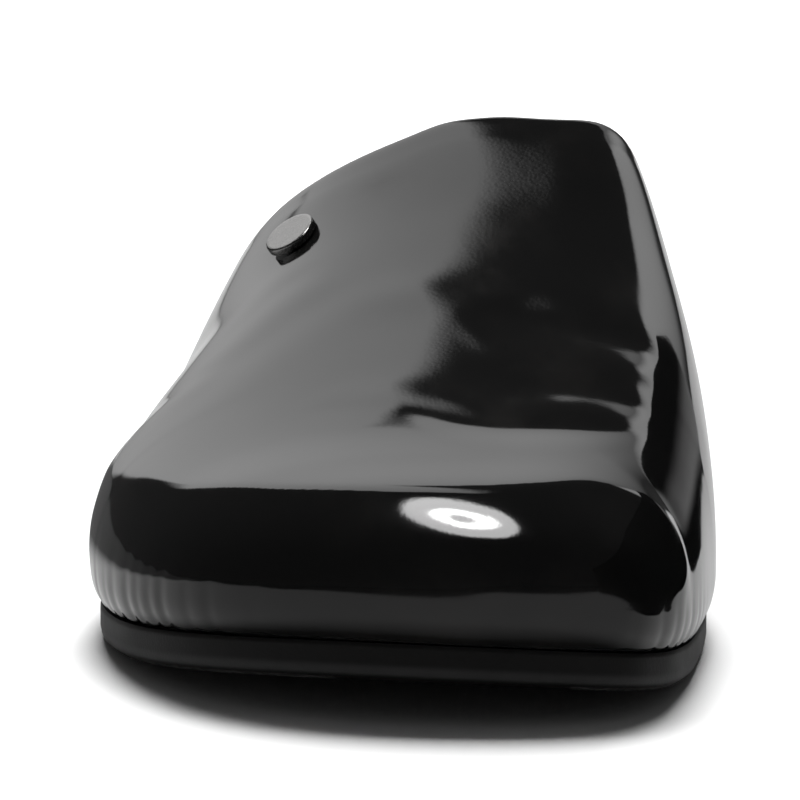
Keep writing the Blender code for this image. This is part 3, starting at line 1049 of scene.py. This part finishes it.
@dataclass
class Upper:
    """One gloss leather wall draped over the last, open underneath and at the back."""

    last: Last
    columns: int = 60
    toe_rows: int = 26
    back_rows: int = 12
    levels: int = 2
    cage_passes: int = 8
    finishes: tuple[Finish, ...] = (GLOSS_LEATHER, NAPPED_LINING, EDGE_PAINT)
    roll_reach: float = 0.0045
    roll_drop: float = 0.0001
    collar_round: float = 0.0004
    collar_segments: int = 3
    sharp: float = 60.0
    back_reach: float = 0.075
    fold_reach: float = 0.0046
    fold_width: float = 0.0013
    fold_depth: float = 0.00006
    toe_edge: tuple[EdgeRow, ...] = listed(
        EdgeRow,
        (-102.0, 0.0592),
        (-86.0, 0.0544),
        (-72.0, 0.0518),
        (-50.0, 0.0511),
        (-25.0, 0.0529),
        (0.0, 0.0565),
        (22.0, 0.0588),
        (31.0, 0.0582),
        (40.0, 0.0611),
    )
    edge_height: float = 0.0015
    edge_soft: float = 0.0008
    edge_front: float = 0.0115
    edge_back: float = 0.028
    edge_fade: float = 10.0
    edge_foot: float = 0.004
    edge_climb: float = 0.012
    creases: tuple[Crease, ...] = (
        Crease((0.0100, 0.0850), (0.0510, 0.0745), 0.0050, 0.00030, 0.0010),
        Crease((0.0280, 0.0792), (0.0500, 0.0735), 0.0036, 0.00014),
        Crease((0.0000, 0.0530), (0.0470, 0.0510), 0.0040, 0.00026, -0.0095),
        Crease((-0.0180, 0.0550), (0.0160, 0.0500), 0.0034, 0.00007),
        Crease((0.0240, 0.0580), (0.0470, 0.0575), 0.0032, 0.00016),
        Crease((-0.042, 0.070), (-0.006, 0.098), 0.0046, 0.00012, 0.002),
        Crease((-0.038, 0.090), (-0.014, 0.108), 0.0035, 0.00010, 0.002),
    )
    gathers: tuple[Gather, ...] = listed(
        Gather,
        (-103.0, 0.00008, 0.007, 0.0022),
        (-93.0, 0.00012, 0.008, 0.0020),
        (-86.5, 0.00018, 0.009, 0.0026),
        (-77.5, 0.00012, 0.008, 0.0018),
        (-71.5, 0.00022, 0.010, 0.0024),
        (-63.0, 0.00026, 0.010, 0.0020),
        (-58.0, 0.00014, 0.012, 0.0016),
        (-53.0, 0.00022, 0.010, 0.0018),
        (-48.5, 0.00026, 0.012, 0.0018),
        (-41.0, 0.00014, 0.010, 0.0016),
        (-35.5, 0.00016, 0.011, 0.0016),
        (-26.0, 0.00008, 0.009, 0.0018),
        (31.0, 0.00008, 0.008, 0.0014),
        (37.5, 0.00014, 0.008, 0.0012),
        (42.0, 0.00018, 0.009, 0.0013),
        (46.0, 0.00014, 0.008, 0.0011),
        (51.0, 0.00020, 0.009, 0.0014),
        (57.5, 0.00014, 0.008, 0.0013),
        (63.0, 0.00012, 0.008, 0.0014),
        (70.0, 0.00008, 0.007, 0.0014),
    )
    swells: tuple[Swell, ...] = (
        Swell((0.000, 0.0905), (0.0090, 0.0060), 0.00030),
        Swell((-0.003, 0.0550), (0.0090, 0.0060), 0.00018),
    )

    @property
    def rows(self) -> int:
        """Rows of the cage from toe to collar."""
        return self.toe_rows + self.back_rows

    def _evened(self, cage: Array) -> Array:
        """Where a cage's points come to lie once smoothed, each weighing 4 to its neighbours' 1."""
        for axis in (0, 1):
            line = np.moveaxis(cage, axis, 0)
            soft = line.copy()
            soft[1:-1] = (line[:-2] + 4 * line[1:-1] + line[2:]) / 6
            cage = np.moveaxis(soft, 0, axis)
        return cage

    def _along(self, row: Array) -> Array:
        """Where rows lie along the sheet: -1 at the toe, 0 at the hub and 1 at the collar."""
        behind = row - self.toe_rows
        return behind / np.where(behind < 0, self.toe_rows, self.back_rows)

    def _drape(self, made: Piece) -> None:
        """Lays a flat grid over the last, so proud that its smoothed surface meets the skin."""
        grid = Bench.points(made)
        b = self._along(np.rint((grid[:, 1] + 1) / 2 * self.rows))
        skin = self.last.draped(grid[:, 0], b).reshape(self.rows + 1, self.columns + 1, 3)
        cage = skin.copy()
        for _ in range(self.cage_passes):
            cage = cage + skin - self._evened(cage)
        Bench.move(made, cage.reshape(-1, 3))

    def _sheet_along(self, made: Piece) -> Array:
        """Where the mesh's points lie along the sheet, from its UV map."""
        loops = len(made.data.loops)
        where, uv = np.empty(loops, int), np.empty(loops * 2)
        made.data.loops.foreach_get("vertex_index", where)
        made.data.uv_layers[0].data.foreach_get("uv", uv)
        along = np.empty(len(made.data.vertices))
        along[where] = uv[1::2]
        return self._along(along * self.rows)

    def _toe_edge_height(self, bearing: Array, reach: Array, rise: Array) -> Array:
        """Height that the toe box's edge adds, falling away on both sides and to the sole.

        Args:
            bearing: Bearings of the points from the hub.
            reach: Their distances from it.
            rise: Their heights over the sole.

        Returns:
            The heights to add.
        """
        bearing = np.degrees(bearing)
        bearings = column(self.toe_edge, "bearing")
        off = reach - smooth_curve(bearings, column(self.toe_edge, "reach"), bearing)
        away = np.hypot(off, self.edge_soft) - self.edge_soft
        near = np.clip(1 - away / np.where(off > 0, self.edge_front, self.edge_back), 0, 1)
        start = eased((bearing - bearings[0]) / self.edge_fade + 1)
        end = eased((bearings[-1] - bearing) / self.edge_fade + 1)
        above = eased((rise - self.edge_foot) / self.edge_climb)
        return self.edge_height * start * end * above * near**2

    def _crease_height(self, crease: Crease, x: Array, station: Array) -> Array:
        """Height that one crease adds."""
        start, end = np.array(crease.start), np.array(crease.end)
        run = end - start
        length = np.hypot(*run)
        ahead = run / length
        offset = np.stack([x, station], axis=-1) - start
        along = offset @ ahead / length
        across = offset @ np.array([-ahead[1], ahead[0]])
        across = across - crease.bow * (1 - (2 * along - 1) ** 2)
        fade = eased(along / crease.fade) * eased((1 - along) / crease.fade)
        width = crease.width * (crease.waist[0] + crease.waist[1] * fade)
        trough = np.exp(-(across / width) ** 2)
        ridge = np.exp(-((np.abs(across) - crease.ridge_off * width) / width) ** 2)
        return crease.depth * fade * (crease.ridge * ridge - trough)

    def _swell_height(self, swell: Swell, x: Array, station: Array) -> Array:
        """Height that one swell adds."""
        across = (x - swell.place[0]) / swell.size[0]
        along = (station - swell.place[1]) / swell.size[1]
        return swell.height * np.exp(-(across**2) - along**2)

    def _gather_height(self, gather: Gather, bearing: Array, reach: Array, rise: Array) -> Array:
        """Height that one gather adds."""
        off = (bearing - math.radians(gather.bearing)) * reach
        return -gather.depth * np.exp(-((off / gather.width) ** 2) - (rise / gather.climb) ** 2)

    def _settle(self, made: Piece) -> None:
        """Gives the smooth sheet its toe edge, creases, swells, gathers and rolled collar."""
        points, normals = Bench.points(made), Bench.normals(made)
        x, station = points[:, 0], points[:, 1] + self.last.middle_station
        rise = points[:, 2] - self.last.sole_top(x, station)
        side, ahead = x - self.last.hub_x, self.last.hub_station - station
        bearing, reach = np.arctan2(side, ahead), np.hypot(side, ahead)
        height = self._toe_edge_height(bearing, reach, rise)
        for crease in self.creases:
            height += self._crease_height(crease, x, station)
        for swell in self.swells:
            height += self._swell_height(swell, x, station)
        for gather in self.gathers:
            height += self._gather_height(gather, bearing, reach, rise)
        to_collar = (1 - self._sheet_along(made)) * self.back_reach
        off_fold = (to_collar - self.fold_reach) / self.fold_width
        height -= self.fold_depth * np.exp(-(off_fold**2))
        height -= self.roll_drop * np.clip(1 - to_collar / self.roll_reach, 0, 1) ** 2
        Bench.move(made, points + normals * height[:, None])

    def build(self) -> Piece:
        """Models the upper.

        Returns:
            The piece.
        """
        made = Bench.add(
            "upper_leather", bpy.ops.mesh.primitive_grid_add,
            x_subdivisions=self.columns, y_subdivisions=self.rows, size=2,
        )
        self._drape(made)
        Bench.apply(made, "SUBSURF", {
            "levels": self.levels, "boundary_smooth": "ALL", "uv_smooth": "NONE",
        })
        self._settle(made)
        collar = set(np.flatnonzero(self._sheet_along(made) > 1 - TINY).tolist())
        sheet = len(made.data.vertices)
        for _ in self.finishes:
            made.data.materials.append(None)
        # The lining takes the finish after the outside's, and the rim the one after that
        Bench.apply(made, "SOLIDIFY", {
            "thickness": self.last.wall, "offset": -1,
            "material_offset": 1, "material_offset_rim": 2,
        })

        def on_collar(edge: Any) -> bool:
            """Tells the two long edges of the collar."""
            ends = all(point.index % sheet in collar for point in edge.verts)
            return ends and edge.calc_face_angle(0.0) > math.radians(self.sharp)

        Bench.pick(made, on_collar, "EDGE")
        bpy.ops.mesh.bevel(
            offset=self.collar_round, segments=self.collar_segments, affect="EDGES"
        )
        Bench.leave()
        Bench.smooth(made, self.sharp)
        return made

    def dress(self, made: Piece) -> None:
        """Gives the wall its outer finish, its lining and its painted edge."""
        for slot, finish in enumerate(self.finishes):
            made.data.materials[slot] = finish.material()


@dataclass
class Layer:
    """A divided box eased into the last's plan."""

    last: Last
    columns: int = 40
    rows: int = 84
    steps: int = 14
    sharp: float = 50.0
    side_slack: float = 1e-4

    def shape(
        self, name: str, inset: float, side: Sequence[SideRow], heights: Heights
    ) -> Piece:
        """Models a layer with a rounded side.

        Args:
            name: The piece's name.
            inset: How far its widest line stands in from the plan.
            side: Its side from foot to rim.
            heights: Gives the foot, the rim and the top face within the rim.

        Returns:
            The piece.
        """
        made = Bench.add(name, bpy.ops.mesh.primitive_cube_add, size=2)
        for axis, steps in enumerate((self.columns, self.rows, self.steps)):
            Bench.divide(made, axis, steps)
        grid = Bench.points(made)
        share = (grid[:, 2] + 1) / 2
        turned_in = smooth_curve(column(side, "height"), column(side, "inset"), share)
        inset = inset + np.maximum(turned_in, 0)
        x, station = self.last.plan_point(grid[:, 0], grid[:, 1], inset)
        foot, rim, top = heights(x, station)
        on_side = np.abs(grid[:, :2]).max(axis=1) > 1 - self.side_slack
        z = np.where(on_side, foot + share * (rim - foot), np.where(share < 0.5, foot, top))
        Bench.move(made, np.stack([x, station - self.last.middle_station, z], axis=-1))
        made.data.attributes.new(RISE, "FLOAT", "POINT").data.foreach_set("value", share)
        Bench.smooth(made, self.sharp)
        return made


@dataclass
class Outsole(Layer):
    """A rubber sheet of even thickness on the walking face's curve."""

    tread_facing: float = -0.8

    def build(self) -> Piece:
        """Models the sole."""
        def heights(x: Array, station: Array) -> Arrays:
            """Foot, rim and top face."""
            top = self.last.sole_top(x, station)
            return self.last.sole_bottom(x, station), top, top

        return self.shape("sole", self.last.sole_inset, self.last.sole_side, heights)

    def dress(self, made: Piece) -> None:
        """Gives the side plain rubber and the walking face its tread."""
        made.data.materials.append(SOLE_RUBBER.material())
        made.data.materials.append(TreadRubber().material())
        for face in made.data.polygons:
            face.material_index = int(face.normal.z < self.tread_facing)


@dataclass
class Footbed(Layer):
    """A moulded bed with a cupped top and a side that turns under."""

    def build(self) -> Piece:
        """Models the bed."""
        def heights(x: Array, station: Array) -> Arrays:
            """Foot, rim and top face."""
            foot, rim = self.last.sole_top(x, station), self.last.bed_rim(x, station)
            return foot + self.last.gap, foot + rim, self.last.bed_top(x, station)

        return self.shape("bed", self.last.bed_inset, self.last.bed_side, heights)

    def dress(self, made: Piece) -> None:
        """Gives the bed its satin leather."""
        made.data.materials.append(BED_LEATHER.material())


@dataclass
class Insole:
    """A soft leather sheet within the footbed's rim."""

    last: Last
    columns: int = 40
    rows: int = 84
    margin: float = 0.07
    thickness: float = 0.0015
    edge_round: float = 0.0005
    edge_segments: int = 3
    edge_angle: float = 60.0
    sharp: float = 50.0

    def build(self) -> Piece:
        """Models the sheet."""
        made = Bench.add(
            "insole_sheet", bpy.ops.mesh.primitive_grid_add,
            x_subdivisions=self.columns, y_subdivisions=self.rows, size=2,
        )
        grid = Bench.points(made) * (1 - self.margin)
        inset = self.last.bed_inset + self.last.bed_side[-1].inset
        x, station = self.last.plan_point(grid[:, 0], grid[:, 1], inset)
        z = self.last.bed_top(x, station) + self.last.gap
        Bench.move(made, np.stack([x, station - self.last.middle_station, z], axis=-1))
        sheet = {"thickness": self.thickness, "offset": 1, "use_even_offset": True}
        Bench.apply(made, "SOLIDIFY", sheet)
        Bench.apply(made, "BEVEL", {
            "width": self.edge_round, "segments": self.edge_segments,
            "limit_method": "ANGLE", "angle_limit": math.radians(self.edge_angle),
        })
        Bench.smooth(made, self.sharp)
        return made

    def dress(self, made: Piece) -> None:
        """Gives the sheet its matt leather."""
        made.data.materials.append(INSOLE_LEATHER.material())


@dataclass
class Rivet:
    """A flat metal cap on the lateral side of the collar, with its shank and its back."""

    last: Last
    upper: Piece
    x: float = -0.0212
    station: float = 0.1220
    head_radius: float = 0.0051
    head_height: float = 0.0014
    head_round: float = 0.00035
    shank_radius: float = 0.0016
    back_radius: float = 0.0038
    back_height: float = 0.0008
    seat_height: float = 0.0004
    sides: int = 72
    head_segments: int = 4
    flat: float = 0.99
    sharp: float = 35.0

    def _seat(self) -> Matrix:
        """The rivet's place on the upper's outer face, turned to face out of it."""
        aim = Vector((self.x, self.station - self.last.middle_station, 1))
        seat = self.upper.ray_cast(aim, Vector((0, 0, -1)))[1]
        around = []
        for turn in np.linspace(0, 2 * np.pi, self.sides, endpoint=False):
            beside = seat + self.head_radius * Vector((np.cos(turn), np.sin(turn), 1))
            around.append(self.upper.closest_point_on_mesh(beside)[1] - seat)
        pairs = zip(around, around[1:] + around[:1])
        facing = sum((a.cross(b) for a, b in pairs), Vector()).normalized()
        return Matrix.Translation(seat) @ facing.to_track_quat("Z", "Y").to_matrix().to_4x4()

    def build(self) -> Piece:
        """Models the rivet.

        Returns:
            The piece.
        """
        made = Bench.add(
            "cap_rivet", bpy.ops.mesh.primitive_cylinder_add,
            vertices=self.sides, radius=self.head_radius, depth=self.head_height,
            location=(0, 0, self.seat_height + self.head_height / 2),
        )
        bpy.ops.object.transform_apply(location=True, rotation=False, scale=False)
        top = self.seat_height + self.head_height

        def on_top(edge: Any) -> bool:
            """Tells the cap's upper rim."""
            return all(abs(corner.co.z - top) < TINY for corner in edge.verts)

        def is_top(face: Any) -> bool:
            """Tells the cap's flat top."""
            return face.normal.z > self.flat and face.calc_center_median().z > top - TINY

        Bench.pick(made, on_top, "EDGE")
        bpy.ops.mesh.bevel(offset=self.head_round, segments=self.head_segments, affect="EDGES")
        Bench.leave()
        Bench.pick(made, is_top, "FACE")
        bpy.ops.mesh.inset(thickness=self.head_round, depth=0)
        Bench.leave()
        Bench.pick(made, lambda face: face.normal.z < -self.flat, "FACE")
        bpy.ops.mesh.inset(thickness=self.head_radius - self.shank_radius, depth=0)
        reach = self.seat_height + self.last.wall + 2 * self.seat_height
        wider = self.back_radius / self.shank_radius
        for drop, growth in ((reach, 1), (0, wider), (self.back_height, 1)):
            bpy.ops.mesh.extrude_region_move(TRANSFORM_OT_translate={"value": (0, 0, -drop)})
            bpy.ops.transform.resize(value=(growth, growth, 1))
        Bench.leave()
        made.data.transform(self._seat())
        made.data.update()
        Bench.smooth(made, self.sharp)
        return made

    def dress(self, made: Piece) -> None:
        """Gives the rivet its metal."""
        made.data.materials.append(CAP_METAL.material())


# The studio


@dataclass(frozen=True)
class Lamp:
    """A soft box: where it is, where it looks, its size, and how bright its face is."""

    name: str
    place: Triple
    aim: Triple
    size: Pair
    level: float


@dataclass(frozen=True)
class SoftStep:
    """Where a light screen begins: a slanted line across the room and how soft it is."""

    slant: Triple
    start: float
    end: float


@dataclass(frozen=True)
class Screen:
    """A bright screen of the room, paler upwards and sideways, bounded by soft lines."""

    foot_level: float
    climb: float
    drift: float
    edges: tuple[SoftStep, ...]


@dataclass(frozen=True)
class RoundLamp:
    """A round lamp of the room, measured along two slanted rulers, and the heights it fades over.

    Each ring has its inner radius and its brightness out to the next one.
    """

    across: Triple
    along: Triple
    middle: Pair
    rings: tuple[Pair, ...]
    blur: float
    low_span: Pair


@dataclass
class Studio:
    """Floor, black card, lamp, the room that the gloss mirrors, and the camera."""

    floor_radius: float = 9.0
    floor_sides: int = 96
    floor_rim: float = 0.6
    camera_place: Triple = (0.0663, -1.8049, 0.3447)
    camera_aim: Triple = (0.0003, -0.065, 0.0458)
    frame_width: float = 0.145
    sensor_width: float = 36.0
    view_end: float = 60.0
    soft_level: float = 0.07
    room_level: float = 0.05
    screens: tuple[Screen, ...] = (
        Screen(0.1, 2.0, -1.6, (
            SoftStep((0, 1, 0), 0.68, 0.72),
            SoftStep((0, 0, -1), -0.67, -0.62),
            SoftStep((1.54, 1, 0), 0.03, 0.09),
            SoftStep((1.54, 1, 1.5), 0.26, 0.40),
            SoftStep((-1, 0, 0), -0.62, -0.52),
        )),
        Screen(0.1, 3.2, 0.0, (
            SoftStep((0, 1, 0), 0.60, 0.68),
            SoftStep((0, 0, -1), -0.67, -0.62),
            SoftStep((1, 0, 0), 0.30, 0.42),
            SoftStep((-1, 0, 0), -0.62, -0.52),
        )),
        Screen(0.1, 2.0, -1.6, (
            SoftStep((-1, 0, 0.3), 0.285, 0.325),
            SoftStep((0.55, 1, 0), 0.28, 0.32),
            SoftStep((1.54, 1, 0), -0.17, -0.11),
            SoftStep((0, 0, 1), 0.34, 0.42),
        )),
    )
    round_lamp: RoundLamp = RoundLamp(
        (6.2, 0, 0), (3.3, 3.8, 0), (-0.434, -0.539),
        ((0.0, 14.0), (0.22, 50.0), (0.5, 14.0), (1.0, 0.0)), 0.08, (0.3, 0.4),
    )
    lamp: Lamp = Lamp("back_sky", (0.0, 1.6, 3.2), (0, 0, 0), (1.8, 2.2), 20.0)
    card_back: Pair = (0.103, 0.027)
    card_front: Pair = (0.170, -0.300)
    card_height: float = 0.113
    card_slant: float = 0.038

    def _floor(self) -> None:
        """Lays the floor."""
        made = Bench.add(
            "floor", bpy.ops.mesh.primitive_circle_add,
            vertices=self.floor_sides, radius=self.floor_radius, fill_type="NGON",
        )
        Bench.pick(made, lambda face: True, "FACE")
        bpy.ops.mesh.inset(thickness=self.floor_radius * self.floor_rim, depth=0)
        Bench.leave()
        made.data.materials.append(PaleFloor().material())

    def _flag(self) -> None:
        """Stands a black card by the medial side, which only the gloss sees."""
        back, front = Vector((*self.card_back, 0)), Vector((*self.card_front, 0))
        run = front - back
        middle = (back + front) / 2 + Vector((0, 0, self.card_height / 2))
        turn = (math.pi / 2, 0, math.atan2(run.y, run.x))
        made = Bench.add(
            "black_card", bpy.ops.mesh.primitive_plane_add, size=1, location=middle, rotation=turn
        )
        made.scale = (run.length, self.card_height, 1)
        bpy.ops.object.transform_apply(location=True, rotation=True, scale=True)
        near = self.card_height / 2
        Bench.pick(made, lambda corner: (corner.co - back).length < near, "VERT")
        bpy.ops.transform.translate(value=-run.normalized() * self.card_slant)
        Bench.leave()
        made.data.materials.append(BlackCard().material())
        made.visible_camera = made.visible_diffuse = made.visible_shadow = False

    def _hang_lamp(self) -> None:
        """Hangs the lamp, which neither the camera nor the gloss sees."""
        lamp = self.lamp
        place, aim = Vector(lamp.place), Vector(lamp.aim)
        turn = (aim - place).to_track_quat("-Z", "Y").to_euler()
        made = Bench.add(
            lamp.name, bpy.ops.object.light_add, type="AREA", location=place, rotation=turn
        )
        made.data.shape = "RECTANGLE"
        made.data.size, made.data.size_y = lamp.size
        made.data.energy = lamp.level * lamp.size[0] * lamp.size[1] * math.pi
        made.visible_camera = made.visible_glossy = False

    def _room_level(self, book: NodeBook) -> Value:
        """Writes the brightness of the room that the gloss mirrors.

        Args:
            book: The world's nodes.

        Returns:
            The brightness in each direction.
        """
        way = book.value("ShaderNodeTexCoord", {}, {}, "Generated")

        def along(slant: Triple) -> Value:
            """How far each direction goes along a slanted line."""
            dot = {"operation": "DOT_PRODUCT"}
            return book.value("ShaderNodeVectorMath", dot, {0: way, 1: slant}, "Value")

        level: Any = self.room_level
        for screen in self.screens:
            share = along((screen.drift, 0, screen.climb)) + screen.foot_level
            for edge in screen.edges:
                share = along(edge.slant).between(edge.start, edge.end) * share
            level = book.value("ShaderNodeMath", {"operation": "MAXIMUM"}, {0: level, 1: share})
        lamp = self.round_lamp
        off_across = along(lamp.across) - lamp.middle[0]
        off_along = along(lamp.along) - lamp.middle[1]
        out = (off_across**2 + off_along**2) ** 0.5
        above = along((0, 0, 1)).between(*lamp.low_span)
        for (near, bright), (far, _) in zip(lamp.rings, lamp.rings[1:]):
            start = 1 if near == 0 else out.between(near - lamp.blur, near + lamp.blur)
            end = 1 - out.between(far - lamp.blur, far + lamp.blur)
            level = level + above * start * end * bright
        return level

    def _world(self) -> None:
        """Sets the room: even light for floor and matt faces, screens for the gloss."""
        world = bpy.data.worlds.new("room")
        world.use_nodes = True
        book = NodeBook(world.node_tree)
        mirrored = book.mirrored()
        level = mirrored * self._room_level(book) + (1 - mirrored) * self.soft_level
        sockets = {"Color": grey(1.0), "Strength": level}
        backdrop = book.value("ShaderNodeBackground", {}, sockets)
        book.node("ShaderNodeOutputWorld", {}, {"Surface": backdrop})
        bpy.context.scene.world = world

    def _camera(self) -> None:
        """Sets up the camera at the photograph's angle."""
        place, aim = Vector(self.camera_place), Vector(self.camera_aim)
        turn = (aim - place).to_track_quat("-Z", "Y").to_euler()
        made = Bench.add("camera", bpy.ops.object.camera_add, location=place, rotation=turn)
        made.data.sensor_width = self.sensor_width
        made.data.lens = self.sensor_width * (aim - place).length / self.frame_width
        made.data.clip_end = self.view_end
        bpy.context.scene.camera = made

    def build(self) -> None:
        """Sets up the whole studio."""
        self._floor()
        self._flag()
        self._world()
        self._hang_lamp()
        self._camera()
        bpy.context.scene.view_settings.view_transform = "Standard"


def place_on_frame(made: Piece, node: str) -> None:
    """Hands a finished piece to the frame.

    Args:
        made: The piece.
        node: The solid that it stands for.
    """
    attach(made, "root")
    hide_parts(node)
    triangles = sum(len(face.vertices) - 2 for face in made.data.polygons)
    LOG.info("%s for %s: %d triangles", made.name, node, triangles)


def main() -> None:
    """Builds the slipper and the studio in order."""
    logging.basicConfig(level=logging.INFO, format="%(message)s")
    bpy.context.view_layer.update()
    last = Last()
    upper = Upper(last)
    leather = upper.build()
    pieces = (
        (upper, leather, "upper", "upper_leather"),
        (bed := Footbed(last), bed.build(), "footbed", "footbed_leather"),
        (insole := Insole(last), insole.build(), "insole", "insole_leather"),
        (sole := Outsole(last), sole.build(), "outsole", "sole_rubber"),
        (rivet := Rivet(last, leather), rivet.build(), "rivet", "rivet_metal"),
    )
    for maker, made, node, slot in pieces:
        maker.dress(made)
        place_on_frame(made, node)
    Studio().build()


if __name__ == "__main__":
    main()
